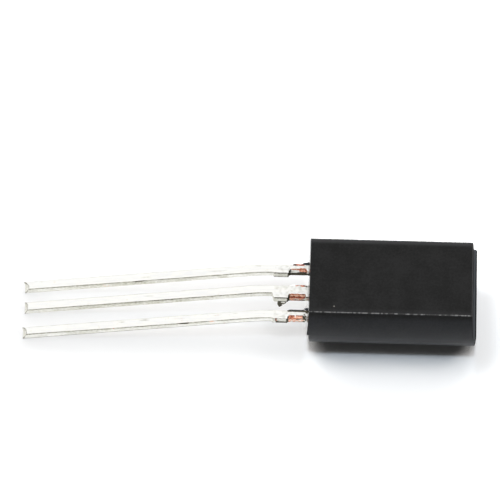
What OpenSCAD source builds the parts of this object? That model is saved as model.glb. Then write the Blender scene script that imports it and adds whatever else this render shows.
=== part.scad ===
// Three-lead transistor in a long-body TO-92 plastic package: an epoxy body with a flat front
// and a round back, moulded round a stamped lead frame that carries the silicon die.
//
// The origin is where the middle lead leaves the body, on the parting plane.
// +X runs into the body, towards its top end. The leads run along -X. +Z is the flat front's normal.
// The part lies on its round back, with its lead tips bent down to the same surface.

/* [Moulded body] */
// Length of the front half at the parting line
body_l = 8.0; // [7.6:0.05:8.4]
// Diameter of the round body, its width at the parting line
body_w = 5.0; // [4.7:0.05:5.2]
// Depth from the flat front back to the parting line
front_depth = 1.46; // [1.3:0.01:1.7]
// Draft of the end walls, in degrees
end_draft = 3.5; // [1:0.5:7]
// Radius on the edges round the flat front
front_edge_r = 0.08; // [0.04:0.01:0.12]

/* [Back half of the mould] */
// How far the back half is stepped in at the lead end
lead_end_step = 0.08; // [0.02:0.01:0.12]
// How far the back half stands out at the top end
top_end_ledge = 0.16; // [0.02:0.01:0.2]
// Radius on the edges round the ends of the back half
back_edge_r = 0.1; // [0.04:0.01:0.16]
// Radius on the corners of the back half at the parting line
back_corner_r = 0.12; // [0.04:0.01:0.16]

/* [Leads] */
// Distance from one lead to the next, centre to centre
pitch = 1.27; // [1.2:0.01:1.4]
// Width of each lead's free length
lead_w = 0.42; // [0.36:0.01:0.5]
// Thickness of the lead frame
lead_t = 0.4; // [0.35:0.01:0.45]
// Length of each lead from the body to its tip, measured along the lead
lead_l = 14.04; // [12:0.01:14.4]
// Straight length between the shoulder and the start of the bend down
bend_gap = 0.1; // [0.05:0.05:1]
// Inside radius of the bend
bend_r = 5.4; // [2:0.1:6]
// Sideways lean of the leads past the bend, in degrees
lead_lean = 0.75; // [0:0.25:2]
// Length of the sheared bevel at each tip
tip_bevel = 0.2; // [0.1:0.01:0.3]

/* [Necks and shoulders] */
// Length of each neck, from the body to the shoulder
neck_l = 0.95; // [0.7:0.05:1.1]
// Length of each shoulder, left where the dam bar was cut away
shoulder_l = 0.68; // [0.5:0.01:0.75]
// Length of the taper from the shoulder to the free length
shoulder_taper = 0.1; // [0.05:0.01:0.15]
// Width of the middle lead's shoulder
middle_shoulder_w = 0.72; // [0.65:0.01:0.8]
// Width of the outer leads' shoulders
outer_shoulder_w = 0.49; // [0.45:0.01:0.6]
// Width of the middle lead's neck, on its upper face
middle_neck_w = 0.48; // [0.4:0.01:0.5]
// Width of the outer leads' necks, on their upper faces
outer_neck_w = 0.24; // [0.2:0.01:0.3]
// How much wider the necks are on their lower faces, where their sheared flanks slope out
shear_slope = 0.14; // [0.05:0.01:0.18]
// Unsheared length of each neck next to the body
shear_gap = 0.12; // [0.06:0.01:0.2]

/* [Lead frame inside the body] */
// Distance from the body's lead end to the bond posts
post_x = 1.2; // [0.9:0.05:1.4]
// Length of the bond posts on the outer leads
post_l = 1.4; // [1:0.05:1.5]
// Width of the bond posts
post_w = 0.9; // [0.6:0.05:1]
// Gap between the bond posts and the die pad
pad_gap = 0.5; // [0.3:0.05:0.6]
// Length of the die pad
pad_l = 3.2; // [2.8:0.05:3.8]
// Width of the die pad
pad_w = 2.7; // [2:0.05:3]
// Length of the tapered shoulder where the middle lead widens to the die pad
pad_taper = 0.4; // [0.2:0.05:0.5]
// Diameter of the hole through which the resin locks the die pad
lock_hole_d = 0.8; // [0.5:0.05:1]
// Distance from the lock hole's edge to the end of the die pad
lock_hole_edge = 0.35; // [0.2:0.05:0.5]

/* [Die and bonds] */
// Side of the square silicon die
die_w = 1.2; // [0.8:0.05:1.3]
// Thickness of the die
die_t = 0.24; // [0.15:0.01:0.35]
// Thickness of the solder under the die
solder_t = 0.03; // [0.02:0.01:0.06]
// How far the solder shows round the die
solder_rim = 0.06; // [0.02:0.01:0.12]
// Distance of the bonds on the die from the die's edges
bond_inset = 0.25; // [0.2:0.01:0.35]
// Diameter of the bond wires
wire_d = 0.06; // [0.04:0.01:0.1]
// Height of the wires' control points above their bonds
wire_rise = 0.55; // [0.4:0.05:0.8]
// Diameter of the flattened foot of each wire
foot_d = 0.14; // [0.12:0.01:0.2]
// Thickness of the flattened foot
foot_t = 0.04; // [0.02:0.01:0.06]

/* [Hidden] */
body_r = body_w / 2;
bend_at = neck_l + shoulder_l + shoulder_taper + bend_gap;
pad_x = post_x + post_l + pad_gap;
die_x = pad_x + (pad_l - lock_hole_edge - lock_hole_d) / 2;
die_top = solder_t + die_t;
arc_steps = 6;
wire_sides = 8;
wire_steps = 14;
cut = 1;
$fn = 64;

// The bend that brings the lower corner of each tip down to the surface under the round back.
// The straight length past the bend depends on the angle, so the angle is worked out in turns.
function straight_run(angle) = lead_l - bend_at - (bend_r + lead_t / 2) * angle * PI / 180;
function angle_for(run) =
    atan(bend_r / run) + asin((body_r - lead_t - bend_r) / norm([run, bend_r]));
function settled(angle, turns) = turns == 0 ? angle : settled(angle_for(straight_run(angle)), turns - 1);
droop = settled(0, 5);
run_l = straight_run(droop);

// An arc of a rounded corner, as points of a polygon.
function corner(centre, r, from, to) =
    [for (i = [0:arc_steps]) let (a = from + (to - from) * i / arc_steps) centre + r * [cos(a), sin(a)]];

// Lays a drawing made in (Y, Z) along X, from x = 0.
module along_x(length) {
    rotate([90, 0, 90]) linear_extrude(length) children();
}

// Lays a drawing made in (X, Z) across Y, centred.
module across_y(width) {
    rotate([90, 0, 0]) linear_extrude(width, center = true) children();
}

// Front half of the body in (Y, Z): the round section cut flat, with rounded edges beside the flat.
module front_section() {
    centre_z = front_depth - front_edge_r;
    centre_y = sqrt(pow(body_r - front_edge_r, 2) - pow(centre_z, 2));
    side_angle = atan2(centre_z, centre_y);
    right = corner([centre_y, centre_z], front_edge_r, side_angle, 90);
    left = [for (i = [arc_steps:-1:0]) [-right[i].x, right[i].y]];
    outside = (body_r + cut) * [cos(side_angle), sin(side_angle)];
    intersection() {
        circle(body_r);
        polygon(concat([[-body_r - cut, 0], [body_r + cut, 0], outside], right, left,
                       [[-outside.x, outside.y]]));
    }
}

// Back half of the body in (Y, Z).
module back_section() {
    intersection() {
        circle(body_r);
        translate([-body_r - cut, -body_r - cut]) square([2 * (body_r + cut), body_r + cut]);
    }
}

// Front half of the body in (X, Z), with drafted end walls.
module front_side() {
    end_in = front_depth * tan(end_draft) + front_edge_r * tan(45 - end_draft / 2);
    z = front_depth - front_edge_r;
    top = corner([body_l - end_in, z], front_edge_r, end_draft, 90);
    bottom = corner([end_in, z], front_edge_r, 90, 180 - end_draft);
    polygon(concat([[0, 0], [body_l, 0]], top, bottom));
}

// Back half of the body in (X, Z), drafted the other way.
module back_side() {
    end_in = body_r * tan(end_draft) + back_edge_r * tan(45 - end_draft / 2);
    z = back_edge_r - body_r;
    bottom = corner([lead_end_step + end_in, z], back_edge_r, 180 + end_draft, 270);
    top = corner([body_l + top_end_ledge - end_in, z], back_edge_r, 270, 360 - end_draft);
    polygon(concat([[body_l + top_end_ledge, 0], [lead_end_step, 0]], bottom, top));
}

// Back half of the body in (X, Y), at the parting line.
module back_plan() {
    r = back_corner_r;
    low = lead_end_step + r;
    high = body_l + top_end_ledge - r;
    side = body_r - r;
    polygon(concat(corner([high, side], r, 0, 90), corner([low, side], r, 90, 180),
                   corner([low, -side], r, 180, 270), corner([high, -side], r, 270, 360)));
}

module resin() {
    intersection() {
        along_x(body_l) front_section();
        across_y(body_w + cut) front_side();
    }
    intersection() {
        along_x(body_l + top_end_ledge) back_section();
        across_y(body_w + cut) back_side();
        translate([0, 0, -body_r - cut]) linear_extrude(body_r + 2 * cut) back_plan();
    }
}

// Near edge of a neck's lower face. The neck's upper face is centred on the lead's place in the row.
function neck_foot(neck_w) = -neck_w / 2 - shear_slope;

// A lead's outline seen from the flat front, outside the body.
// Neck, shoulder and free length share one straight edge, on the emitter's side of each lead.
module lead_outline(neck_w, shoulder_w) {
    edge = neck_w / 2;
    shoulder_end = -neck_l - shoulder_l;
    lean_out = (lead_l - bend_at) * tan(lead_lean);
    polygon([
        [shear_gap, edge],
        [-bend_at, edge],
        [-lead_l, edge - lean_out],
        [-lead_l, edge - lean_out - lead_w],
        [-bend_at, edge - lead_w],
        [shoulder_end - shoulder_taper, edge - lead_w],
        [shoulder_end, edge - shoulder_w],
        [-neck_l, edge - shoulder_w],
        [-neck_l, neck_foot(neck_w)],
        [shear_gap, neck_foot(neck_w)],
    ]);
}

// A lead seen from its side, in (X, Z): straight, bent down, then straight to its bevelled tip.
module lead_side() {
    centre = [-bend_at, -lead_t - bend_r];
    along = [-cos(droop), -sin(droop)];
    upper = corner(centre, bend_r + lead_t, 90, 90 + droop);
    lower = corner(centre, bend_r, 90 + droop, 90);
    tip = [upper[arc_steps] + (run_l - tip_bevel) * along, lower[0] + run_l * along];
    polygon(concat([[shear_gap, -lead_t], [shear_gap, 0]], upper, tip, lower));
}

// The flank of the neck that was sheared on a slope when the dam bar was punched out.
module neck_shear(neck_w) {
    foot = neck_foot(neck_w);
    top = -neck_w / 2;
    translate([-neck_l, 0, 0]) along_x(neck_l - shear_gap)
        polygon([[foot, -lead_t], [foot - cut, -lead_t], [foot - cut, cut], [top, cut], [top, 0]]);
}

module lead_outside(neck_w, shoulder_w) {
    difference() {
        intersection() {
            translate([0, 0, -2 * body_r]) linear_extrude(3 * body_r) lead_outline(neck_w, shoulder_w);
            across_y(4 * pitch) lead_side();
        }
        neck_shear(neck_w);
    }
}

// Flat part of the lead frame, from a drawing in (X, Y).
module frame_plate() {
    translate([0, 0, -lead_t]) linear_extrude(lead_t) children();
}

module outer_lead(place) {
    translate([0, place, 0]) {
        lead_outside(outer_neck_w, outer_shoulder_w);
        frame_plate() {
            translate([0, neck_foot(outer_neck_w)]) square([post_x + post_l / 2, outer_neck_w + shear_slope]);
            translate([post_x, -post_w / 2]) square([post_l, post_w]);
        }
    }
}

module emitter_lead() {
    color("gainsboro") outer_lead(pitch);
}

module base_lead() {
    color("gainsboro") outer_lead(-pitch);
}

module collector_lead() {
    color("gainsboro") {
        lead_outside(middle_neck_w, middle_shoulder_w);
        difference() {
            frame_plate() {
                polygon([
                    [0, middle_neck_w / 2],
                    [pad_x - pad_taper, middle_neck_w / 2],
                    [pad_x, pad_w / 2],
                    [pad_x + pad_l, pad_w / 2],
                    [pad_x + pad_l, -pad_w / 2],
                    [pad_x, -pad_w / 2],
                    [pad_x - pad_taper, neck_foot(middle_neck_w)],
                    [0, neck_foot(middle_neck_w)],
                ]);
            }
            translate([pad_x + pad_l - lock_hole_edge - lock_hole_d / 2, 0, -lead_t - cut])
                cylinder(d = lock_hole_d, h = lead_t + 2 * cut);
        }
    }
}

module silicon_die() {
    color("slategray") translate([die_x - die_w / 2, -die_w / 2, solder_t]) cube([die_w, die_w, die_t]);
}

module die_solder() {
    solder_w = die_w + 2 * solder_rim;
    color("silver") translate([die_x - solder_w / 2, -solder_w / 2, 0]) cube([solder_w, solder_w, solder_t]);
}

function bezier(p, t) =
    pow(1 - t, 3) * p[0] + 3 * t * pow(1 - t, 2) * p[1] + 3 * t * t * (1 - t) * p[2] + pow(t, 3) * p[3];
function bezier_slope(p, t) =
    pow(1 - t, 2) * (p[1] - p[0]) + 2 * t * (1 - t) * (p[2] - p[1]) + t * t * (p[3] - p[2]);

// A wire that rises straight off the die, loops over and comes straight down on a bond post.
module bond_wire(start, end) {
    rise = [0, 0, wire_rise];
    path = [start, start + rise, end + rise, end];
    flat = [end.x - start.x, end.y - start.y, 0];
    side = [-flat.y, flat.x, 0] / norm(flat);
    points = [
        for (i = [0:wire_steps])
            let (t = i / wire_steps, slope = bezier_slope(path, t), up = cross(side, slope) / norm(slope))
                for (k = [0:wire_sides - 1])
                    let (a = 360 * k / wire_sides)
                        bezier(path, t) + wire_d / 2 * (cos(a) * side + sin(a) * up)
    ];
    walls = [
        for (i = [0:wire_steps - 1])
            for (k = [0:wire_sides - 1])
                let (a = i * wire_sides + k, b = i * wire_sides + (k + 1) % wire_sides)
                    for (face = [[a, b, b + wire_sides], [a, b + wire_sides, a + wire_sides]]) face
    ];
    first = [for (k = [wire_sides - 1:-1:0]) k];
    last = [for (k = [0:wire_sides - 1]) wire_steps * wire_sides + k];
    polyhedron(points, concat([first, last], walls));
    for (foot = [start, end])
        translate(foot) cylinder(d = foot_d, h = foot_t, $fn = 12);
}

module wire_to_post(side) {
    on_die = [die_x - die_w / 2 + bond_inset, side * (die_w / 2 - bond_inset), die_top];
    on_post = [post_x + post_l / 2, side * pitch, 0];
    color("gold") bond_wire(on_die, on_post);
}

module emitter_bond_wire() {
    wire_to_post(1);
}

module base_bond_wire() {
    wire_to_post(-1);
}

// The resin fills every space round the frame, the die and the wires.
module moulded_body() {
    color([0.13, 0.13, 0.14]) difference() {
        resin();
        emitter_lead();
        collector_lead();
        base_lead();
        silicon_die();
        die_solder();
        emitter_bond_wire();
        base_bond_wire();
    }
}

moulded_body();
emitter_lead();
collector_lead();
base_lead();
silicon_die();
die_solder();
emitter_bond_wire();
base_bond_wire();
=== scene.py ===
import math
from dataclasses import dataclass

import bmesh
import bpy
from mathutils import Matrix, Vector, noise


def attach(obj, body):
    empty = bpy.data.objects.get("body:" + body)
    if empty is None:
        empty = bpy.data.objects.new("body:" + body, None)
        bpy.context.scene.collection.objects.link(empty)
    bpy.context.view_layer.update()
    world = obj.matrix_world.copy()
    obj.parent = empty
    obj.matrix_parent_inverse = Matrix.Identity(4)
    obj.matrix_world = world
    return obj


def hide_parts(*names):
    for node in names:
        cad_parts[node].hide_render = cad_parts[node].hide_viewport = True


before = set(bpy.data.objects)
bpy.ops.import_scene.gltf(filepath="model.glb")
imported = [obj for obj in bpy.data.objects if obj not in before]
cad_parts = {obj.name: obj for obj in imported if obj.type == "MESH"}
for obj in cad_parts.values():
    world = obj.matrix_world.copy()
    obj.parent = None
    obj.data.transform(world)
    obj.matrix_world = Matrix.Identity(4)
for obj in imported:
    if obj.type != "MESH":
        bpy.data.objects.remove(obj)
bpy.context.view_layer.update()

MM = 0.001

# The lengths of the leads, in millimetres, as in the CAD source.
PITCH = 1.27
LEAD_W, LEAD_T, LEAD_L = 0.42, 0.40, 14.04
BEND_AT, BEND_R = 1.83, 5.4
LEAN = math.tan(math.radians(0.75))
NECK_L, SHOULDER_L, TAPER = 0.95, 0.68, 0.10
SHEAR_SLOPE, SHEAR_GAP = 0.14, 0.12
BODY_R = 2.5
EDGE_Y, EDGE_Z = 2.025, 1.451
POST_X, POST_L, POST_W = 1.2, 1.4, 0.9
PAD_X, PAD_L, PAD_W, PAD_TAPER = 3.1, 3.2, 2.7, 0.4
LOCK_D, LOCK_EDGE = 0.8, 0.35

# Lengths that only the dressed leads have, in millimetres.
NECK_FILLET = 0.16               # from a neck's side to its shoulder
SHEAR_EASE = 0.05                # over which the uncut stub by the body passes into the sheared side
FADE_FROM, FADE_L = 9.0, 4.0     # where the overhang starts to change to that at the tip, and over how far
TIP_EASE = 0.45                  # over which the cut of the tip eases in
TIP_FINE = 0.6                   # the stretch before the tip that is divided finely
PLATE_EDGE = 0.02                # rounding of the plates inside the body
PLATE_FROM = 0.2                 # how far inside the body those plates start


def settle_droop():
    """The bend that brings the lower corner of each tip down to the floor under the round back."""
    angle = 0.0
    for _ in range(6):
        run = LEAD_L - BEND_AT - (BEND_R + LEAD_T / 2) * angle
        reach = math.hypot(run, BEND_R)
        angle = math.atan(BEND_R / run) + math.asin((BODY_R - LEAD_T - BEND_R) / reach)
    return angle


DROOP = settle_droop()
ARC_L = (BEND_R + LEAD_T / 2) * DROOP


# What the leads' surfaces are painted with, point by point.
PAINT = ("bare", "copper_tone", "stain_and_shade", "torn")


# ---------------------------------------------------------------- materials

def material(name):
    made = bpy.data.materials.new(name)
    made.use_nodes = True
    made.node_tree.nodes.clear()
    return made


def node(tree, kind, props=None, **sockets):
    """A new node. A socket's value is another node's output, which is linked, or a constant."""
    made = tree.nodes.new("ShaderNode" + kind)
    for key, value in (props or {}).items():
        setattr(made, key, value)
    for key, value in sockets.items():
        socket = made.inputs[int(key[1:])] if key[0] == "_" else made.inputs[key.replace("_", " ")]
        if isinstance(value, bpy.types.NodeSocket):
            tree.links.new(value, socket)
        else:
            socket.default_value = value
    return made


def math_node(tree, operation, a, b=0.0, clamp=False):
    return node(tree, "Math", {"operation": operation, "use_clamp": clamp}, _0=a, _1=b).outputs[0]


def ramp(tree, value, low, high, to_low=0.0, to_high=1.0):
    """Runs smoothly from to_low, where value is low, to to_high, where it is high."""
    made = node(tree, "MapRange", {"interpolation_type": "SMOOTHSTEP"}, Value=value)
    made.inputs["From Min"].default_value = low
    made.inputs["From Max"].default_value = high
    made.inputs["To Min"].default_value = to_low
    made.inputs["To Max"].default_value = to_high
    return made.outputs["Result"]


def place(tree, stretch=(1, 1, 1)):
    """Position on the object in millimetres, stretched."""
    coordinates = node(tree, "TexCoord").outputs["Object"]
    scale = tuple(s / MM for s in stretch)
    return node(tree, "Mapping", Vector=coordinates, Scale=scale).outputs[0]


def speckle(tree, vector, scale, detail=3.0, roughness=0.55):
    made = node(tree, "TexNoise", Vector=vector, Scale=scale, Detail=detail, Roughness=roughness)
    return made.outputs["Fac"]


def mix(tree, factor, a, b):
    made = node(tree, "Mix", {"data_type": "RGBA"}, _0=factor, _6=a, _7=b)
    return made.outputs[2]


def bump(tree, height, depth, strength=1.0, normal=None):
    made = node(tree, "Bump", Height=height, Strength=strength, Distance=depth * MM)
    if normal is not None:
        tree.links.new(normal, made.inputs["Normal"])
    return made.outputs[0]


def distance(tree, vector, centre):
    return node(tree, "VectorMath", {"operation": "DISTANCE"}, _0=vector, _1=centre).outputs["Value"]


def finish_with(tree, **sockets):
    shader = node(tree, "BsdfPrincipled", **sockets)
    node(tree, "OutputMaterial", Surface=shader.outputs[0])
    return shader


def attribute(tree, name):
    return node(tree, "Attribute", {"attribute_name": name}).outputs["Fac"]


def epoxy(name, base=0.010):
    """Matt moulding compound: a fine spark-eroded texture, faint cloudiness, a smoother lead end, lower
    sides painted lighter and bluer as a painted reflection of the floor, a top end painted darker as shade
    and made duller, a ledge painted pale as a highlight, a painted sheen beside the long edges, rubbed nicks
    on them in places that also carry a painted highlight, and one pale fleck on the front."""
    made = material(name)
    tree = made.node_tree
    at = place(tree)
    x, y, z = node(tree, "SeparateXYZ", Vector=at).outputs
    cloud = speckle(tree, at, 1.1, 4.0)
    grain = speckle(tree, at, 9.0, 5.0, 0.7)
    fine = speckle(tree, at, 26.0, 3.0, 0.6)
    tone = math_node(tree, "ADD", math_node(tree, "MULTIPLY", cloud, 0.35),
                     math_node(tree, "MULTIPLY", grain, 0.65))
    flat = mix(tree, ramp(tree, tone, 0.38, 0.62), (base * 0.18, base * 0.19, base * 0.18, 1),
               (base * 0.98, base * 0.98, base * 1.0, 1))
    # The lower sides are painted lighter and bluer than the flat front: a painted reflection of the lit
    # floor.
    side = mix(tree, ramp(tree, tone, 0.38, 0.62), (base * 1.5, base * 1.6, base * 1.8, 1),
               (base * 2.3, base * 2.4, base * 2.7, 1))
    colour = mix(tree, ramp(tree, z, 1.08, 1.38, 1.0, 0.0), flat, side)

    # The two long edges of the flat front: a painted sheen beside them, stronger by the far edge, and rubbed
    # nicks right on them that also carry a painted highlight.
    across = math_node(tree, "SUBTRACT", math_node(tree, "ABSOLUTE", y), EDGE_Y)
    off_top = math_node(tree, "ABSOLUTE", math_node(tree, "SUBTRACT", z, EDGE_Z))
    beside = math_node(tree, "MULTIPLY", ramp(tree, across, -0.30, -0.06),
                       ramp(tree, off_top, 0.03, 0.10, 1.0, 0.0))
    beside = math_node(tree, "MULTIPLY", beside, ramp(tree, y, -2.1, 2.1, 0.20, 0.9))
    colour = mix(tree, math_node(tree, "MULTIPLY", beside, 0.9), colour,
                 (base * 4.6, base * 4.6, base * 4.7, 1))
    near_edge = math_node(tree, "MAXIMUM", math_node(tree, "ABSOLUTE", across), off_top)
    runs = speckle(tree, place(tree, (0.9, 0.4, 0.4)), 1.0, 2.0, 0.5)
    dots = speckle(tree, place(tree, (5.5, 2, 2)), 1.0, 3.0, 0.6)
    nick = math_node(tree, "ADD", math_node(tree, "MULTIPLY", runs, 0.3),
                     math_node(tree, "MULTIPLY", dots, 0.7))
    # Rubbed nicks along the edges. Their pale colour is partly wear and partly a painted highlight, stronger
    # towards the top end.
    rubbed_glint = math_node(tree, "MULTIPLY", ramp(tree, near_edge, 0.012, 0.034, 1.0, 0.0),
                     ramp(tree, nick, 0.46, 0.58, 0.16, 1.0))
    rubbed_glint = math_node(tree, "MULTIPLY", rubbed_glint, ramp(tree, x, 0.0, 6.5, 0.78, 1.15))
    colour = mix(tree, rubbed_glint, colour, (0.30, 0.30, 0.295, 1))

    slope = node(tree, "SeparateXYZ", Vector=node(tree, "TexCoord").outputs["Normal"]).outputs[0]
    end_wall = ramp(tree, slope, -0.99, -0.93, 1.0, 0.0)
    # The narrow ledge at the mould line on the top end is painted pale and bluish: a painted highlight.
    ledge_highlight = math_node(tree, "MULTIPLY", ramp(tree, x, 8.0, 8.02), ramp(tree, x, 8.09, 8.12, 1.0, 0.0))
    ledge_highlight = math_node(tree, "MULTIPLY", ledge_highlight, ramp(tree, z, -0.03, -0.01))
    # The top end, and what lies past the ledge, is painted darker as shade and is also made duller.
    shaded_top_end = math_node(tree, "MAXIMUM", ramp(tree, slope, 0.90, 0.98), ramp(tree, x, 8.09, 8.12))
    colour = mix(tree, shaded_top_end, colour, (base * 0.3, base * 0.3, base * 0.3, 1))
    fleck = distance(tree, at, (1.29, -1.70, 1.46))
    colour = mix(tree, ramp(tree, fleck, 0.02, 0.055, 0.9, 0.0), colour, (0.20, 0.19, 0.17, 1))
    colour = mix(tree, ledge_highlight, colour, (0.108, 0.113, 0.120, 1))
    rough = ramp(tree, grain, 0.3, 0.7, 0.50, 0.60)
    rough = math_node(tree, "SUBTRACT", rough, ramp(tree, z, 0.2, 1.3, 0.10, 0.0))
    rough = math_node(tree, "SUBTRACT", rough, math_node(tree, "MULTIPLY", rubbed_glint, 0.15))
    rough = math_node(tree, "SUBTRACT", rough, math_node(tree, "MULTIPLY", end_wall, 0.33))
    rough = math_node(tree, "ADD", rough, math_node(tree, "MULTIPLY", shaded_top_end, 0.50))
    relief = math_node(tree, "ADD", math_node(tree, "MULTIPLY", fine, 0.6), grain)
    relief = math_node(tree, "MULTIPLY", relief, math_node(tree, "SUBTRACT", 1.0, math_node(
        tree, "MULTIPLY", end_wall, 0.9)))
    finish_with(tree, **{"Base Color": colour, "Roughness": rough, "Specular IOR Level": 0.175,
                         "Normal": bump(tree, relief, 0.004, 0.55)})
    return made


def lead_metal(name):
    """Bright tin over copper. Painted weights say where the copper is bare, how light its tone is (standing
    partly for highlights and shade on it), where it is stained, with painted shade laid in the same dark
    colour, and where the edge was torn in stamping."""
    made = material(name)
    tree = made.node_tree
    at = place(tree)
    bare, copper_tone, stain_and_shade, torn = (attribute(tree, word) for word in PAINT)
    grain = speckle(tree, at, 9.0, 4.0, 0.6)
    fine = speckle(tree, at, 26.0, 3.0)
    streak = speckle(tree, place(tree, (0.35, 7, 7)), 1.3, 4.0, 0.6)
    spots = speckle(tree, at, 4.2, 5.0, 0.72)

    tin = mix(tree, ramp(tree, streak, 0.35, 0.68), (0.775, 0.775, 0.76, 1), (0.84, 0.832, 0.79, 1))
    tin = mix(tree, ramp(tree, spots, 0.60, 0.72, 0.0, 0.4), tin, (0.62, 0.57, 0.42, 1))
    tin = mix(tree, math_node(tree, "MULTIPLY", torn, ramp(tree, grain, 0.35, 0.65, 0.55, 1.0)),
              tin, (0.40, 0.392, 0.32, 1))
    # The copper runs from dark to light with this weight and the grain. The dark and light copper stand
    # partly for shade and highlights on it.
    warm = math_node(tree, "ADD", copper_tone, math_node(tree, "MULTIPLY", math_node(
        tree, "SUBTRACT", grain, 0.5), 2.2))
    copper = mix(tree, ramp(tree, warm, 0.05, 0.5), (0.14, 0.040, 0.030, 1), (0.57, 0.21, 0.125, 1))
    copper = mix(tree, ramp(tree, warm, 0.5, 1.0), copper, (0.80, 0.54, 0.41, 1))
    shown = ramp(tree, math_node(tree, "ADD", bare, math_node(tree, "MULTIPLY", math_node(
        tree, "SUBTRACT", grain, 0.5), 1.1)), 0.42, 0.60)
    colour = mix(tree, shown, tin, copper)
    # This dark colour is partly real stain and partly painted shade: the dark line on the near top edge of
    # the free leads, and the dark lower flanks and far edges of the necks by the body.
    stain_shade_colour = mix(tree, ramp(tree, fine, 0.35, 0.65), (0.030, 0.026, 0.015, 1), (0.115, 0.100, 0.058, 1))
    covered = ramp(tree, math_node(tree, "ADD", stain_and_shade, math_node(tree, "MULTIPLY", math_node(
        tree, "SUBTRACT", fine, 0.5), 0.9)), 0.42, 0.62)
    colour = mix(tree, covered, colour, stain_shade_colour)

    metal = ramp(tree, covered, 0.0, 1.0, 1.0, 0.15)
    rough = ramp(tree, grain, 0.3, 0.7, 0.28, 0.38)
    rough = math_node(tree, "ADD", rough, math_node(tree, "MULTIPLY", torn, 0.12))
    rough = math_node(tree, "ADD", rough, math_node(tree, "MULTIPLY", covered, 0.25))
    relief = math_node(tree, "ADD", math_node(tree, "MULTIPLY", streak, 0.5), math_node(
        tree, "MULTIPLY", grain, math_node(tree, "ADD", 0.35, math_node(tree, "MULTIPLY", torn, 1.6))))
    finish_with(tree, **{"Base Color": colour, "Metallic": metal, "Roughness": rough,
                         "Normal": bump(tree, relief, 0.006, 0.5)})
    return made


def inner_finish(name, dark, pale, rough, metallic, scale):
    """A finish for the sealed pieces, which show only where the body is hidden."""
    made = material(name)
    tree = made.node_tree
    at = place(tree)
    grain = speckle(tree, at, scale, 4.0)
    finish_with(tree, **{"Base Color": mix(tree, ramp(tree, grain, 0.35, 0.65), dark, pale),
                         "Metallic": metallic, "Roughness": ramp(tree, grain, 0.3, 0.7, rough, rough + 0.12),
                         "Normal": bump(tree, grain, 0.003, 0.4)})
    return made


EPOXY = epoxy("black_epoxy_finish")
METAL = lead_metal("tinned_copper_finish")
SILICON = inner_finish("silicon_finish", (0.10, 0.11, 0.13, 1), (0.19, 0.20, 0.24, 1), 0.16, 0.6, 9.0)
SOLDER = inner_finish("solder_finish", (0.42, 0.42, 0.43, 1), (0.60, 0.60, 0.61, 1), 0.38, 1.0, 6.0)
GOLD = inner_finish("gold_wire_finish", (0.88, 0.60, 0.20, 1), (0.96, 0.72, 0.32, 1), 0.22, 1.0, 12.0)

for name, finish in (("moulded_body", EPOXY), ("silicon_die", SILICON), ("die_solder", SOLDER),
                     ("emitter_bond_wire", GOLD), ("base_bond_wire", GOLD)):
    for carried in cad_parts[name].material_slots:
        carried.material = finish


# ---------------------------------------------------------------- leads

def on_path(s):
    """The upper face of a lead at the distance s from the body: x, z and the angle of the bend there."""
    if s <= BEND_AT:
        return -s, 0.0, 0.0
    angle = min((s - BEND_AT) / (BEND_R + LEAD_T / 2), DROOP)
    outer = BEND_R + LEAD_T
    x = -BEND_AT - outer * math.sin(angle)
    z = -outer * (1 - math.cos(angle))
    past = max(0.0, s - BEND_AT - ARC_L)
    return x - past * math.cos(angle), z - past * math.sin(angle), angle


def point_on(s, y, depth):
    """A point at the distance s along a lead, depth under its upper face. y is from the straight lead."""
    x, z, angle = on_path(s)
    x += depth * math.sin(angle)
    z -= depth * math.cos(angle)
    return Vector((x, y - max(0.0, -x - BEND_AT) * LEAN, z))


def blend_to(a, b, t):
    t = min(max(t, 0.0), 1.0)
    return a + (b - a) * t * t * (3 - 2 * t)


def rough_at(a, b, c=0.0):
    return noise.noise(Vector((a, b, c)))


@dataclass
class Lead:
    """Where one lead's edges run, how its neck was sheared and what marks it has."""
    middle: float
    neck_w: float
    shoulder_w: float
    sheared: tuple     # how far the sheared side stands out, at its top and at its foot
    flash: float       # how far the far side of the neck stands out
    overhang: tuple    # how far the upper face reaches over the near side, at the body and at the tip
    short: float       # how far the tip stops before the longest lead's
    tip: tuple         # how far the cut slopes back, from the near to the far edge
    shade_and_wear: tuple        # painted shade as a dark line on the near top edge, torn flank by the body and further out, stain at its foot
    seed: float
    top_marks: list
    near_marks: list

    def __post_init__(self):
        self.far = self.middle + self.neck_w / 2

    def far_edge(self, s):
        return self.far + self.flash * within(s, 0.22, 0.70, 0.04)

    def near(self, s):
        """Near edge on the upper and on the lower face."""
        top, foot = (self.middle - self.neck_w / 2 - wider for wider in self.sheared)
        wide = self.far - self.shoulder_w
        if s < SHEAR_GAP:
            return blend_to(foot, top, (s - SHEAR_GAP + SHEAR_EASE) / SHEAR_EASE), foot
        if s < NECK_L:
            t = max(0.0, (s - NECK_L + NECK_FILLET) / NECK_FILLET)
            scoop = 1 - math.sqrt(max(0.0, 1 - t * t))
            reach = 0.62 * scoop
            return top + (wide - top) * reach, foot + (wide - foot) * reach
        if s < NECK_L + SHOULDER_L:
            return wide, wide
        free = self.far - LEAD_W
        y = blend_to(wide, free, (s - NECK_L - SHOULDER_L) / TAPER)
        wider, at_tip = self.overhang
        if s > FADE_FROM:
            wider = blend_to(wider, at_tip, (s - FADE_FROM) / FADE_L)
        return y - blend_to(0.0, wider, (s - NECK_L - SHOULDER_L) / TAPER), y

    def radius(self, s):
        """Corner radius on the upper and on the lower face: the punch rolls one and tears the other."""
        if s < NECK_L:
            return 0.018, 0.018
        if s < NECK_L + SHOULDER_L:
            return 0.035, 0.022
        return 0.055, 0.026


def spread(start, end, step):
    count = max(1, round((end - start) / step))
    return [start + (end - start) * i / count for i in range(count)]


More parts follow.
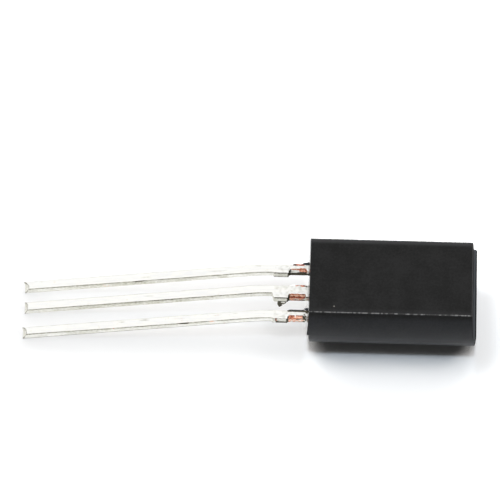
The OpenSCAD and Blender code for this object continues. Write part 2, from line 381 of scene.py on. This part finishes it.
def stations():
    """The distances from the body at which a lead has a ring of points, closer where its form changes."""
    shoulder_end = NECK_L + SHOULDER_L
    jump = 0.0005
    return (spread(-0.3, 0.0, 0.1)
            + spread(0.0, SHEAR_GAP - SHEAR_EASE, 0.03)
            + spread(SHEAR_GAP - SHEAR_EASE, SHEAR_GAP, 0.0125)
            + spread(SHEAR_GAP, NECK_L - NECK_FILLET, 0.028)
            + spread(NECK_L - NECK_FILLET, NECK_L - jump, 0.016)
            + [NECK_L - jump]
            + spread(NECK_L + jump, shoulder_end, 0.034)
            + spread(shoulder_end, shoulder_end + TAPER, 0.0167)
            + spread(shoulder_end + TAPER, BEND_AT, 0.08)
            + spread(BEND_AT, BEND_AT + ARC_L, ARC_L / 12)
            + spread(BEND_AT + ARC_L, LEAD_L - TIP_FINE, 0.2)
            + spread(LEAD_L - TIP_FINE, LEAD_L, 0.05)
            + [LEAD_L])


# How many steps each side of a ring has, in order, and how many each rounded corner.
SIDES = ((18, "top"), (6, "far"), (5, "bottom"), (16, "near"))
ARC = 4


def ring(lead, s):
    """The cross-section at s as (y, depth, side, position along the side) points, all the way round."""
    near_top, near_foot = lead.near(s)
    far = lead.far_edge(s)
    corners = [Vector((near_top, 0)), Vector((far, 0)), Vector((far, LEAD_T)), Vector((near_foot, LEAD_T))]
    up, down = lead.radius(s)
    radii = [up, up, down, down]
    points = []
    for i, (steps, side) in enumerate(SIDES):
        start, end = corners[i], corners[(i + 1) % 4]
        along = (end - start).normalized()
        a, b = start + along * radii[i], end - along * radii[(i + 1) % 4]
        for k in range(steps + 1):
            t = k / steps
            points.append((a.lerp(b, t), side, t))
        nearby, after = (i + 1) % 4, corners[(i + 2) % 4]
        c = end + (after - end).normalized() * radii[nearby]
        for k in range(1, ARC):
            t = k / ARC
            points.append((b * (1 - t) ** 2 + end * 2 * t * (1 - t) + c * t * t, side + "_edge", t))
    return points


def within(value, start, end, soft):
    """1 between start and end, falling smoothly to 0 over the distance soft outside them."""
    off = max(start - value, value - end, 0.0)
    return 1 - blend_to(0.0, 1.0, off / soft)


def paint(lead, s, depth, side, t):
    """The paint at a point of a ring. A mark is (start, end, low, high, bare, flush, stain, torn), from
    start to end along the lead and from low to high over the face: down from its upper edge on the near
    side, and from the near to the far edge on the upper face."""
    mixed = [0.0, 0.5, 0.0, 0.0]
    share = depth / LEAD_T
    if s < 0:
        return (0.0, 0.5, 0.3, 1.0)
    if s > LEAD_L - 0.06:
        return (0.0, 0.3, 0.60, 1.0)
    free = s >= NECK_L + SHOULDER_L
    edge, flank, flank_far, foot = lead.shade_and_wear
    flank += (flank_far - flank) * within(s, 7.0, 10.3, 3.0)
    # The near top edge of the free leads is painted dark: painted shade standing for the dark reflection
    # along the rounded edge. It is also marked torn.
    if free and side == "near_edge":
        mixed = [0.0, 0.3, edge + 0.12 * rough_at(s * 2.2, lead.seed), 1.0]
    elif free and side in ("near", "bottom_edge", "far"):
        mixed[2] = foot if share > 0.86 else 0.0
        mixed[3] = flank + 0.4 * rough_at(s * 1.5, share * 4, lead.seed) + 0.5 * (share > 0.9)
    elif free and side == "top_edge":
        mixed[3] = 0.5 + 0.5 * rough_at(s * 3, lead.seed)
    elif side == "far" and s < NECK_L:
        mixed = [0.75 if share < 0.6 else 0.3, 0.35, 0.0, 0.3]
    elif side == "near":
        mixed[3] = 0.45
    elif side == "top" and s < NECK_L + SHOULDER_L:
        mixed[3] = max(0.0, 0.10 + 0.6 * rough_at(s * 7, t * 4, lead.seed))
    marks, v = (), 0.0
    if side in ("near", "bottom_edge", "near_edge"):
        marks, v = lead.near_marks, share
    elif side in ("top", "top_edge"):
        marks, v = lead.top_marks, (t if side == "top" else 1.0)
    wander = Vector((rough_at(s * 13, v * 5, lead.seed), rough_at(s * 13, v * 5, lead.seed + 7), 0))
    for (start, end, low, high, *shade) in marks:
        cover = within(s + wander.x * 0.03, start, end, 0.025) * within(v + wander.y * 0.07, low, high, 0.06)
        mixed = [a + (b - a) * cover for a, b in zip(mixed, shade)]
    return mixed


def tip_setback(lead, y_share, depth):
    """How far a point of the last ring is set back from the tip. y_share runs from the near to the far
    edge."""
    upper = 1 - depth / LEAD_T
    steps = lead.tip
    position = y_share * (len(steps) - 1)
    i = min(int(position), len(steps) - 2)
    bevel = steps[i] + (steps[i + 1] - steps[i]) * (position - i)
    return bevel * upper + lead.short


def build_lead(lead):
    work = bmesh.new()
    layers = [work.verts.layers.float.new(word) for word in PAINT]
    rings = []
    tip_from = LEAD_L - TIP_EASE
    for s in stations():
        loop = []
        for (point, side, t) in ring(lead, s):
            y, depth = point
            at_s = s
            if s > tip_from:
                y_share = (y - (lead.far - LEAD_W)) / LEAD_W
                pull = (s - tip_from) / (LEAD_L - tip_from)
                at_s = s - tip_setback(lead, y_share, depth) * pull * pull
            # Slight unevenness of the stamped faces, more on the necks and shoulders.
            swell = 0.006 if s < NECK_L + SHOULDER_L else 0.003
            if 0.05 < s < LEAD_L - 0.5:
                ease = min(1.0, (s - 0.05) / 0.1)
                wave = rough_at(s * 5 + lead.seed, y * 6, depth * 6) * swell * ease
                if side.startswith("top"):
                    depth += abs(wave)
                else:
                    y += wave if side.startswith("near") else -abs(wave) * 0.5
            if SHEAR_GAP < s < NECK_L - 0.05 and side == "top_edge":
                lip = 0.6 + rough_at(s * 14, lead.seed)
                depth -= 0.016 * lip
                y += 0.022 * lip
            vertex = work.verts.new(point_on(at_s, y, depth) * MM)
            for layer, value in zip(layers, paint(lead, s, point.y, side, t)):
                vertex[layer] = value
            loop.append(vertex)
        rings.append(loop)
    count = len(rings[0])
    for a, b in zip(rings, rings[1:]):
        for k in range(count):
            work.faces.new((a[k], a[(k + 1) % count], b[(k + 1) % count], b[k]))
    for loop in (rings[0], rings[-1]):
        centre = sum((v.co for v in loop), Vector()) / count
        inner = [work.verts.new(v.co.lerp(centre, 0.2)) for v in loop]
        hub = work.verts.new(centre)
        for vertex in inner + [hub]:
            for layer, value in zip(layers, (0.32, 1.0, 0.20, 0.75)):
                vertex[layer] = value
        for k in range(count):
            j = (k + 1) % count
            work.faces.new((loop[k], loop[j], inner[j], inner[k]))
            work.faces.new((inner[k], inner[j], hub))
    bmesh.ops.recalc_face_normals(work, faces=work.faces)
    mesh = bpy.data.meshes.new("stamped")
    work.to_mesh(mesh)
    work.free()
    return mesh


def plate(name, outline, holes=()):
    """A flat plate of the lead frame with slightly rounded edges, from its outline in (x, y)."""
    curve = bpy.data.curves.new(name, "CURVE")
    curve.dimensions = "2D"
    curve.fill_mode = "BOTH"
    curve.bevel_depth = PLATE_EDGE * MM
    curve.bevel_resolution = 1
    curve.offset = -PLATE_EDGE * MM
    curve.extrude = (LEAD_T / 2 - PLATE_EDGE) * MM
    for loop in (outline, *holes):
        spline = curve.splines.new("POLY")
        spline.points.add(len(loop) - 1)
        for control, (x, y) in zip(spline.points, loop):
            control.co = (x * MM, y * MM, 0, 1)
        spline.use_cyclic_u = True
    drawn = bpy.data.objects.new(name, curve)
    bpy.context.scene.collection.objects.link(drawn)
    bpy.context.view_layer.update()
    mesh = bpy.data.meshes.new_from_object(drawn.evaluated_get(bpy.context.evaluated_depsgraph_get()))
    bpy.data.objects.remove(drawn)
    for vertex in mesh.vertices:
        vertex.co.z -= LEAD_T / 2 * MM
    return mesh


def put(name, mesh, finish, smooth=40):
    """Makes a piece of the object from a mesh."""
    mesh.materials.clear()
    mesh.materials.append(finish)
    for face in mesh.polygons:
        face.use_smooth = True
        face.material_index = 0
    mesh.set_sharp_from_angle(angle=math.radians(smooth))
    piece = bpy.data.objects.new(name, mesh)
    bpy.context.scene.collection.objects.link(piece)
    return piece


def joined(name, meshes):
    """One mesh out of several, keeping the painted weights. What has none counts as bare copper."""
    work = bmesh.new()
    for word in PAINT:
        work.verts.layers.float.new(word)
    for mesh in meshes:
        before = len(work.verts)
        painted = "bare" in mesh.attributes
        work.from_mesh(mesh)
        work.verts.ensure_lookup_table()
        layers = [work.verts.layers.float[word] for word in PAINT]
        if not painted:
            for vertex in work.verts[before:]:
                vertex[layers[0]], vertex[layers[1]] = 1.0, 0.6
        bpy.data.meshes.remove(mesh)
    bmesh.ops.remove_doubles(work, verts=work.verts, dist=1e-9)
    mesh = bpy.data.meshes.new(name)
    work.to_mesh(mesh)
    work.free()
    return mesh


def burr(outline, y0, thick, dark_under, seed):
    """A torn sliver of metal, from its outline in (x, z). It leans towards the near side as it goes down,
    and is stained along its torn edge and below dark_under."""
    work = bmesh.new()
    layers = [work.verts.layers.float.new(word) for word in PAINT]
    top = max(z for _, z in outline)
    faces = []
    for side in (0, 1):
        loop = []
        for i, (x, z) in enumerate(outline):
            drop = top - z
            width = thick * (1 - 0.7 * min(1.0, drop / 0.3))
            y = y0 - 0.35 * drop - side * width + rough_at(i * 3.1, side * 5 + seed) * 0.012
            loop.append(work.verts.new(Vector((x, y, z)) * MM))
        faces.append(loop)
    work.faces.new(faces[0])
    work.faces.new(faces[1][::-1])
    for k in range(len(outline)):
        j = (k + 1) % len(outline)
        work.faces.new((faces[0][j], faces[0][k], faces[1][k], faces[1][j]))
    bmesh.ops.triangulate(work, faces=work.faces)
    bmesh.ops.subdivide_edges(work, edges=work.edges, cuts=3, use_grid_fill=True)
    torn_edge = [point for point in outline if point[1] < top - 0.02]
    for vertex in work.verts:
        x, _, z = vertex.co / MM
        rise = 1.0
        for (x0, z0), (x1, z1) in zip(torn_edge, torn_edge[1:]):
            along = (x - x0) * (x1 - x0) + (z - z0) * (z1 - z0)
            t = min(max(along / ((x1 - x0) ** 2 + (z1 - z0) ** 2), 0.0), 1.0)
            rise = min(rise, math.hypot(x - x0 - t * (x1 - x0), z - z0 - t * (z1 - z0)))
        dark = rise < 0.05 or z < dark_under or x < -1.27
        vertex[layers[1]], vertex[layers[2]], vertex[layers[3]] = 0.3, (0.9 if dark else 0.0), 0.6
    bmesh.ops.recalc_face_normals(work, faces=work.faces)
    mesh = bpy.data.meshes.new("burr")
    work.to_mesh(mesh)
    work.free()
    return mesh


# Marks as (start, end, low, high, bare, copper tone, stain, torn). The dark stains on the lower flanks and
# far edges of the necks by the body are partly resin bleed and partly painted shade.
EMITTER_TOP = [
    (0.20, 0.74, 0.72, 1.1, 1.0, 0.35, 0.0, 0.0), (0.60, 0.74, 0.72, 1.1, 0.6, 0.1, 0.6, 0.0),
    (0.08, 0.40, -0.1, 0.10, 1.0, 0.4, 0.0, 0.0), (4.00, 4.70, 0.45, 0.60, 0.32, 1.1, 0.06, 0.3),
    (7.80, 8.10, 0.35, 0.50, 0.32, 1.0, 0.12, 0.3), (2.30, 2.50, 0.80, 1.00, 0.30, 1.0, 0.20, 0.4),
]
EMITTER_NEAR = [
    (0.0, 0.50, 0.48, 1.1, 0.0, 0.3, 1.0, 0.3), (0.50, 0.99, 0.62, 1.1, 0.0, 0.3, 0.80, 0.3),
    (0.40, 0.66, 0.20, 0.46, 0.0, 0.5, 0.0, 0.2),
    (0.06, 0.42, -0.1, 0.10, 1.0, 0.50, 0.0, 0.0), (0.06, 0.42, 0.14, 0.42, 1.0, 0.62, 0.0, 0.0),
    (0.06, 0.14, 0.10, 0.40, 1.0, 0.35, 0.3, 0.0), (0.42, 0.84, -0.1, 0.14, 0.75, 0.6, 0.0, 0.0),
    (0.80, 0.93, 0.10, 0.45, 0.0, 0.5, 0.45, 0.5), (0.92, 0.99, 0.0, 1.1, 0.0, 0.3, 1.0, 0.3),
    (0.0, 0.05, -0.1, 0.5, 0.0, 0.5, 0.2, 0.6),
    (1.04, 1.62, -0.1, 0.14, 0.0, 0.3, 0.72, 0.8), (1.02, 1.70, 0.16, 0.80, 0.0, 0.3, 0.26, 0.85),
    (1.02, 1.70, 0.84, 1.1, 0.0, 0.3, 0.58, 0.9),
    (7.90, 8.50, -0.1, 0.12, 0.0, 0.3, 0.62, 1.0), (7.90, 8.50, 0.45, 1.1, 0.0, 0.3, 0.30, 1.0),
    (9.75, 10.2, 0.15, 0.80, 0.42, 1.0, 0.0, 0.7), (3.90, 4.30, 0.30, 0.90, 0.0, 0.3, 0.24, 0.9),
]
COLLECTOR_TOP = [
    (0.30, 0.60, 0.93, 1.1, 0.6, 0.30, 0.46, 0.0), (0.05, 0.30, 0.90, 1.1, 1.0, 0.20, 0.1, 0.0),
    (0.03, 0.10, 0.91, 1.1, 0.6, 0.0, 0.8, 0.0), (7.60, 7.95, 0.60, 0.74, 0.34, 1.1, 0.08, 0.4),
    (3.45, 3.60, 0.55, 0.70, 0.32, 1.0, 0.24, 0.4),
]
COLLECTOR_NEAR = [
    (0.12, 0.92, 0.03, 0.16, 1.0, 0.42, 0.0, 0.0), (0.12, 0.90, 0.21, 0.33, 1.0, 1.10, 0.0, 0.0),
    (0.10, 0.95, 0.39, 0.52, 1.0, 0.10, 0.15, 0.0), (0.10, 0.95, 0.55, 0.62, 1.0, 0.30, 0.1, 0.0),
    (0.30, 0.95, 0.67, 0.77, 0.54, 0.6, 0.0, 1.0),
    (0.0, 0.30, 0.67, 0.77, 0.50, 0.4, 0.30, 1.0), (0.10, 0.94, 0.83, 1.1, 0.56, 0.2, 0.50, 1.0),
    (0.50, 0.62, 0.04, 0.18, 1.0, 0.75, 0.0, 0.0), (0.0, 0.22, 0.85, 1.1, 0.3, 0.1, 0.70, 0.6),
    (0.0, 0.11, -0.1, 0.22, 0.3, 0.1, 0.78, 0.4), (0.0, 0.11, 0.28, 1.1, 0.4, 0.3, 0.36, 1.0),
    (0.90, 0.99, -0.1, 1.1, 0.2, 0.1, 0.95, 0.3),
    (1.04, 1.60, -0.1, 0.14, 0.0, 0.3, 0.70, 0.8), (1.02, 1.70, 0.16, 1.1, 0.0, 0.3, 0.23, 0.8),
    (6.10, 7.60, -0.1, 0.10, 0.0, 0.3, 0.51, 1.0), (2.40, 3.10, -0.1, 0.10, 0.0, 0.3, 0.49, 1.0),
]
BASE_TOP = [
    (0.04, 0.92, 0.74, 1.1, 0.5, 0.05, 0.90, 0.0), (0.0, 0.06, 0.66, 1.1, 0.0, 0.1, 1.0, 0.0),
    (0.02, 0.15, -0.1, 0.24, 0.1, 0.1, 0.95, 0.2),
    (7.72, 7.86, 0.72, 0.90, 0.20, 0.9, 0.40, 0.6), (8.04, 8.14, 0.74, 0.88, 0.20, 1.0, 0.38, 0.5),
    (8.96, 9.12, 0.70, 0.84, 0.20, 1.1, 0.36, 0.5), (3.35, 3.55, 0.74, 0.88, 0.30, 1.1, 0.28, 0.4),
    (4.20, 4.60, 0.66, 0.78, 0.42, 1.2, 0.06, 0.3), (5.90, 6.60, 0.62, 0.72, 0.40, 1.2, 0.06, 0.2),
]
BASE_NEAR = [
    (0.18, 0.93, 0.0, 0.16, 1.0, 0.24, 0.05, 0.0), (0.20, 0.55, 0.20, 0.31, 1.0, 0.95, 0.0, 0.0),
    (0.57, 0.93, 0.22, 0.48, 1.0, 0.38, 0.0, 0.0), (0.18, 0.55, 0.35, 0.44, 0.66, 0.4, 0.1, 1.0),
    (0.18, 0.90, 0.51, 0.60, 0.60, 0.1, 0.44, 1.0), (0.12, 0.93, 0.66, 0.73, 0.60, 1.10, 0.0, 0.2),
    (0.10, 0.93, 0.79, 1.1, 0.50, 0.40, 0.34, 1.0), (0.20, 0.52, 0.50, 0.61, 0.48, 0.1, 0.58, 1.0),
    (0.55, 0.60, -0.1, 0.28, 0.0, 0.5, 0.0, 0.1), (0.02, 0.19, 0.05, 0.60, 0.1, 0.1, 1.0, 0.2),
    (0.91, 0.99, 0.0, 1.1, 0.3, 0.1, 0.95, 0.3), (0.09, 0.18, 0.84, 1.1, 0.6, 0.0, 0.9, 0.2),
    (1.02, 1.66, 0.0, 0.60, 0.0, 0.3, 0.12, 0.8), (1.02, 1.42, 0.66, 1.1, 0.0, 0.3, 0.72, 1.0),
    (1.40, 1.50, 0.55, 1.1, 0.3, 0.1, 0.75, 1.0), (1.44, 1.54, -0.1, 0.5, 0.6, 0.1, 0.5, 0.5),
    (4.45, 4.75, -0.1, 0.14, 0.62, 1.1, 0.0, 0.3), (5.75, 6.10, -0.1, 0.14, 0.0, 0.3, 0.85, 1.0),
    (4.00, 4.10, 0.82, 1.1, 0.70, 0.1, 0.55, 1.0), (9.30, 9.60, -0.1, 0.12, 0.60, 0.7, 0.10, 0.6),
    (7.30, 7.70, 0.90, 1.1, 0.0, 0.3, 0.60, 1.0), (5.00, 5.60, 0.90, 1.1, 0.0, 0.3, 0.58, 1.0),
]
LEADS = {
    "emitter": Lead(
        PITCH, neck_w=0.24, shoulder_w=0.49, sheared=(0.0, 0.13), flash=0.03, overhang=(0.05, 0.035),
        short=0.0, tip=(0.29, 0.30, 0.28, 0.14, 0.0), shade_and_wear=(0.34, 0.52, 0.88, 0.0), seed=1.7,
        top_marks=EMITTER_TOP, near_marks=EMITTER_NEAR),
    "collector": Lead(
        0.0, neck_w=0.48, shoulder_w=0.72, sheared=(0.0, 0.16), flash=0.0, overhang=(0.05, 0.05),
        short=0.04, tip=(0.24, 0.25, 0.25, 0.22, 0.08), shade_and_wear=(0.44, 0.62, 1.00, 0.0), seed=5.2,
        top_marks=COLLECTOR_TOP, near_marks=COLLECTOR_NEAR),
    "base": Lead(
        -PITCH, neck_w=0.24, shoulder_w=0.49, sheared=(0.05, 0.195), flash=0.0, overhang=(0.05, 0.015),
        short=0.02, tip=(0.28, 0.29, 0.28, 0.22, 0.04), shade_and_wear=(0.44, 0.42, 0.62, 0.84), seed=9.4,
        top_marks=BASE_TOP, near_marks=BASE_NEAR),
}

for name, lead in LEADS.items():
    meshes = [build_lead(lead)]
    foot = lead.middle - lead.neck_w / 2 - SHEAR_SLOPE
    if name == "collector":
        hole_x = PAD_X + PAD_L - LOCK_EDGE - LOCK_D / 2
        hole = [(hole_x + LOCK_D / 2 * math.cos(a), LOCK_D / 2 * math.sin(a))
                for a in (math.tau * k / 40 for k in range(40))]
        meshes.append(plate("pad", [
            (PLATE_FROM, foot), (PAD_X - PAD_TAPER, foot),
            (PAD_X, -PAD_W / 2), (PAD_X + PAD_L, -PAD_W / 2), (PAD_X + PAD_L, PAD_W / 2), (PAD_X, PAD_W / 2),
            (PAD_X - PAD_TAPER, lead.far), (PLATE_FROM, lead.far),
        ], [hole]))
        meshes.append(burr([(-1.02, -0.36), (-1.02, -0.41), (-1.13, -0.45), (-1.25, -0.50), (-1.29, -0.60),
                            (-1.34, -0.72), (-1.39, -0.70), (-1.44, -0.60), (-1.46, -0.50), (-1.42, -0.36)],
                           lead.far - lead.shoulder_w + 0.06, 0.09, -0.56, 2.0))
    else:
        meshes.append(plate("post", [
            (PLATE_FROM, foot), (POST_X, foot), (POST_X, lead.middle - POST_W / 2),
            (POST_X + POST_L, lead.middle - POST_W / 2), (POST_X + POST_L, lead.middle + POST_W / 2),
            (POST_X, lead.middle + POST_W / 2), (POST_X, lead.far), (PLATE_FROM, lead.far),
        ]))
    piece = put(name + "_stamped_lead", joined(name + "_mesh", meshes), METAL, 32)
    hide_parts(name + "_lead")
    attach(piece, "root")


# ---------------------------------------------------------------- resin left at the leads

def crumb(centre, size, seed):
    """A small broken bit of resin. centre and size are in millimetres."""
    work = bmesh.new()
    bmesh.ops.create_icosphere(work, subdivisions=3, radius=0.5)
    for vertex in work.verts:
        lump = 1 + 0.45 * noise.noise(vertex.co * 2.3 + Vector((seed, seed, 0)))
        spot = vertex.co.normalized() * 0.5 * lump
        vertex.co = Vector((centre[i] + spot[i] * size[i] for i in range(3))) * MM
    mesh = bpy.data.meshes.new("crumb")
    work.to_mesh(mesh)
    work.free()
    return mesh


def sliver(points, width, seed):
    """A thin torn strip of resin along points, in millimetres."""
    work = bmesh.new()
    loops = []
    for i, (x, y, z) in enumerate(points):
        wide = width * (0.75 + 0.5 * rough_at(i * 2.7, seed))
        end = min(i, len(points) - 1 - i)
        wide *= 0.35 if end == 0 else 1.0
        loops.append([work.verts.new(Vector((x, y + wide * math.cos(a), z + 0.55 * wide * math.sin(a))) * MM)
                      for a in (math.tau * k / 8 for k in range(8))])
    for a, b in zip(loops, loops[1:]):
        for k in range(8):
            work.faces.new((a[k], a[(k + 1) % 8], b[(k + 1) % 8], b[k]))
    work.faces.new(loops[0])
    work.faces.new(loops[-1][::-1])
    bmesh.ops.recalc_face_normals(work, faces=work.faces)
    mesh = bpy.data.meshes.new("sliver")
    work.to_mesh(mesh)
    work.free()
    return mesh


resin_bits = [
    crumb((-0.11, PITCH + 0.17, 0.0), (0.28, 0.15, 0.15), 3.0),
    crumb((-0.03, PITCH + 0.19, -0.02), (0.14, 0.16, 0.16), 4.0),
    crumb((0.03, PITCH - 0.24, -0.30), (0.12, 0.10, 0.16), 5.0),
    crumb((0.0, -0.30, -0.06), (0.10, 0.08, 0.10), 6.0),
    crumb((-0.10, -PITCH - 0.15, -0.08), (0.16, 0.10, 0.14), 7.0),
    crumb((-0.03, -PITCH + 0.17, 0.03), (0.20, 0.12, 0.16), 8.0),
    sliver([(-0.90 + 0.083 * i, -PITCH + 0.125 + 0.003 * i * (i > 8), 0.0 + 0.006 * (i > 9) * (i - 9))
            for i in range(11)], 0.030, 9.0),
]
crumbs = put("lead_exit_resin", joined("resin_bits", resin_bits), epoxy("resin_bit_finish", 0.040), 60)
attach(crumbs, "root")


# ---------------------------------------------------------------- floor, light and camera

FLOOR_Z = -BODY_R * MM


def lit_floor():
    """White paper. The camera and reflections see it brighter than it lights the object, which keeps the
    backdrop white, with painted shade right beside the body, reaching further at its ends. By the leads and
    beyond the top end a faint glow lifts the shadows, dimmed as painted shade by the lower lead's root."""
    made = material("white_paper")
    tree = made.node_tree
    path = node(tree, "LightPath")
    open_sky = node(tree, "AmbientOcclusion", {"samples": 24}, Distance=1.6 * MM).outputs["AO"]
    x, y, _ = node(tree, "SeparateXYZ", Vector=place(tree)).outputs
    # Painted shade: the occlusion is lowered near both ends of the body, so that the darkening beside it
    # reaches further there.
    low_end = math_node(tree, "MULTIPLY", ramp(tree, x, -0.4, 1.6, 0.30, 0.0), ramp(tree, x, -0.25, 0.25))
    shut = math_node(tree, "MAXIMUM", low_end, ramp(tree, x, 7.1, 8.4, 0.0, 0.22))
    open_sky = math_node(tree, "SUBTRACT", open_sky, shut)
    # Painted shade: the floor's colour goes dark where the body shuts out the sky.
    beside = ramp(tree, open_sky, 0.42, 0.53, 0.42, 1.0)
    glossy = path.outputs["Is Glossy Ray"]
    away = math_node(tree, "MAXIMUM", ramp(tree, x, -1.4, -0.3, 1.0, 0.0), ramp(tree, x, 7.9, 8.2))
    shut_in = ramp(tree, math_node(tree, "ADD", open_sky, away), 0.35, 0.80, 0.70, 1.0)
    glow_level = math_node(tree, "MULTIPLY", shut_in, ramp(tree, glossy, 0.0, 1.0, 0.572, 0.80))
    # Painted shade: the glow is dimmed in a pool around the lower lead's root.
    from_root = distance(tree, place(tree, (1, 1.6, 1)), (-1.05, -0.96, 0))
    glow_level = math_node(tree, "MULTIPLY", glow_level, ramp(tree, from_root, 0.5, 1.5, 0.84, 1.0))
    glow = node(tree, "Emission", Color=(1, 1, 1, 1), Strength=glow_level)
    haze = node(tree, "Emission", Color=(1, 1, 1, 1), Strength=0.010)
    paper = node(tree, "BsdfDiffuse", Color=(0.86, 0.86, 0.86, 1))
    seen = node(tree, "BsdfDiffuse", Color=mix(tree, beside, (0, 0, 0, 1), (1.55, 1.55, 1.55, 1)))
    seen = node(tree, "AddShader", _0=seen.outputs[0], _1=haze.outputs[0])
    faint = node(tree, "BsdfDiffuse", Color=mix(tree, glossy, (0.45, 0.45, 0.45, 1), (0.70, 0.70, 0.70, 1)))
    faint = node(tree, "AddShader", _0=faint.outputs[0], _1=glow.outputs[0])
    shown = math_node(tree, "MAXIMUM", path.outputs["Is Camera Ray"], glossy)
    near = math_node(tree, "MULTIPLY", shown, ramp(tree, math_node(tree, "ABSOLUTE", y), 1.9, 3.8, 1.0, 0.0))
    by_top = math_node(tree, "MULTIPLY", ramp(tree, x, 8.08, 8.3), ramp(tree, x, 8.6, 9.5, 1.0, 0.2))
    by_top = math_node(tree, "MULTIPLY", by_top, ramp(tree, y, 1.2, 2.0, 1.0, 0.0))
    by_leads = math_node(tree, "MULTIPLY", near, math_node(
        tree, "MAXIMUM", ramp(tree, x, -0.3, 0.1, 1.0, 0.0), by_top))
    seen = node(tree, "MixShader", _0=by_leads, _1=seen.outputs[0], _2=faint.outputs[0])
    either = node(tree, "MixShader", _0=shown, _1=paper.outputs[0], _2=seen.outputs[0])
    node(tree, "OutputMaterial", Surface=either.outputs[0])
    return made


work = bmesh.new()
bmesh.ops.create_grid(work, x_segments=8, y_segments=8, size=1.5)
floor_mesh = bpy.data.meshes.new("floor")
work.to_mesh(floor_mesh)
work.free()
floor = bpy.data.objects.new("floor", floor_mesh)
floor.location = (0, 0, FLOOR_Z - 1e-6)
floor_mesh.materials.append(lit_floor())
bpy.context.scene.collection.objects.link(floor)


def sun(name, lean_x, lean_y, share, radius, tint=(1, 1, 1)):
    """A soft lamp that stands lean_x degrees from overhead towards +X and lean_y towards +Y, and gives that
    share of the floor's light. radius is half its apparent size, in degrees."""
    towards = Vector((math.tan(math.radians(lean_x)), math.tan(math.radians(lean_y)), 1)).normalized()
    lamp = bpy.data.lights.new(name, "SUN")
    lamp.energy = math.pi * share / towards.z
    lamp.angle = math.radians(2 * radius)
    lamp.color = tint
    made = bpy.data.objects.new(name, lamp)
    made.rotation_euler = towards.to_track_quat("Z", "Y").to_euler()
    made.location = towards * 0.3
    made.visible_glossy = False
    bpy.context.scene.collection.objects.link(made)


LEVEL = 0.667
sun("left_softbox", -28, -2, 0.20 * LEVEL, 20.0, (1.03, 1.0, 0.97))
sun("left_far_softbox", -29, 21, 0.36 * LEVEL, 24.0, (1.03, 1.0, 0.97))
sun("front_lamp", 0.0, -11.3, 0.235 * LEVEL, 2.2, (0.85, 1.0, 1.15))
sun("right_softbox", 36, 2, 0.22 * LEVEL, 11.0, (1.03, 1.0, 0.97))


def studio():
    """A white backdrop low down and a pale sky on the far side. The near side above the floor is dark.
    The softboxes themselves are left out of reflections, and a bright sky with one strip stands in for
    them."""
    world = bpy.data.worlds.new("studio")
    bpy.context.scene.world = world
    world.use_nodes = True
    tree = world.node_tree
    tree.nodes.clear()
    axes = node(tree, "SeparateXYZ", Vector=node(tree, "TexCoord").outputs["Generated"])
    _, y, z = axes.outputs
    steep = math_node(tree, "POWER", math_node(tree, "MAXIMUM", y, 0.0), 4.0)
    far = math_node(tree, "ADD", math_node(tree, "MULTIPLY", steep, 6.7 * LEVEL), 0.05 * LEVEL)
    sky = ramp(tree, y, -0.36, -0.10, 0.06, 1.22)
    lean = math_node(tree, "ABSOLUTE", math_node(tree, "ADD", y, 0.19))
    strip = math_node(tree, "MULTIPLY", ramp(tree, lean, 0.03, 0.07, 7.0, 0.0), ramp(tree, z, 0.8, 0.9))
    mirrored = math_node(tree, "MAXIMUM", sky, ramp(tree, z, 0.10, 0.32, 1.0, 0.02))
    mirrored = math_node(tree, "ADD", mirrored, strip)
    path = node(tree, "LightPath")
    shining = math_node(tree, "MAXIMUM", path.outputs["Is Glossy Ray"], path.outputs["Is Transmission Ray"])
    level = node(tree, "Mix", {"data_type": "FLOAT"}, _0=shining, _2=far, _3=mirrored).outputs[0]
    level = node(tree, "Mix", {"data_type": "FLOAT"}, _0=path.outputs["Is Camera Ray"], _2=level, _3=1.0)
    light = node(tree, "Background", Color=(1, 1, 1, 1), Strength=level.outputs[0])
    node(tree, "OutputWorld", Surface=light.outputs[0])


studio()


FOCAL_PX, PICTURE_PX, SENSOR = 5456.93, 500, 36
AZIMUTH, ELEVATION, ROLL = 1.767, 59.801, -0.022
AIM_AT, AIM_FROM = (-2.860, 2.143, 0), 264.79


def aim_camera():
    """The photograph's view: 60 degrees down on the flat front with a long lens."""
    azimuth, elevation, roll = (math.radians(a) for a in (AZIMUTH, ELEVATION, ROLL))
    target = Vector(AIM_AT) * MM
    towards = Vector((math.sin(azimuth) * math.cos(elevation), -math.cos(azimuth) * math.cos(elevation),
                      math.sin(elevation)))
    ahead = -towards
    right = ahead.cross(Vector((0, 0, 1))).normalized()
    up = right.cross(ahead)
    right, up = (right * math.cos(roll) + up * math.sin(roll), up * math.cos(roll) - right * math.sin(roll))
    lens = bpy.data.cameras.new("camera")
    lens.sensor_width = SENSOR
    lens.lens = FOCAL_PX / PICTURE_PX * SENSOR
    lens.clip_start, lens.clip_end = 0.01, 10
    camera = bpy.data.objects.new("camera", lens)
    camera.matrix_world = Matrix((
        (right.x, up.x, towards.x, 0), (right.y, up.y, towards.y, 0), (right.z, up.z, towards.z, 0),
        (0, 0, 0, 1),
    ))
    camera.location = target + towards * AIM_FROM * MM
    bpy.context.scene.collection.objects.link(camera)
    bpy.context.scene.camera = camera


aim_camera()
bpy.context.scene.view_settings.view_transform = "Standard"

bpy.context.view_layer.update()
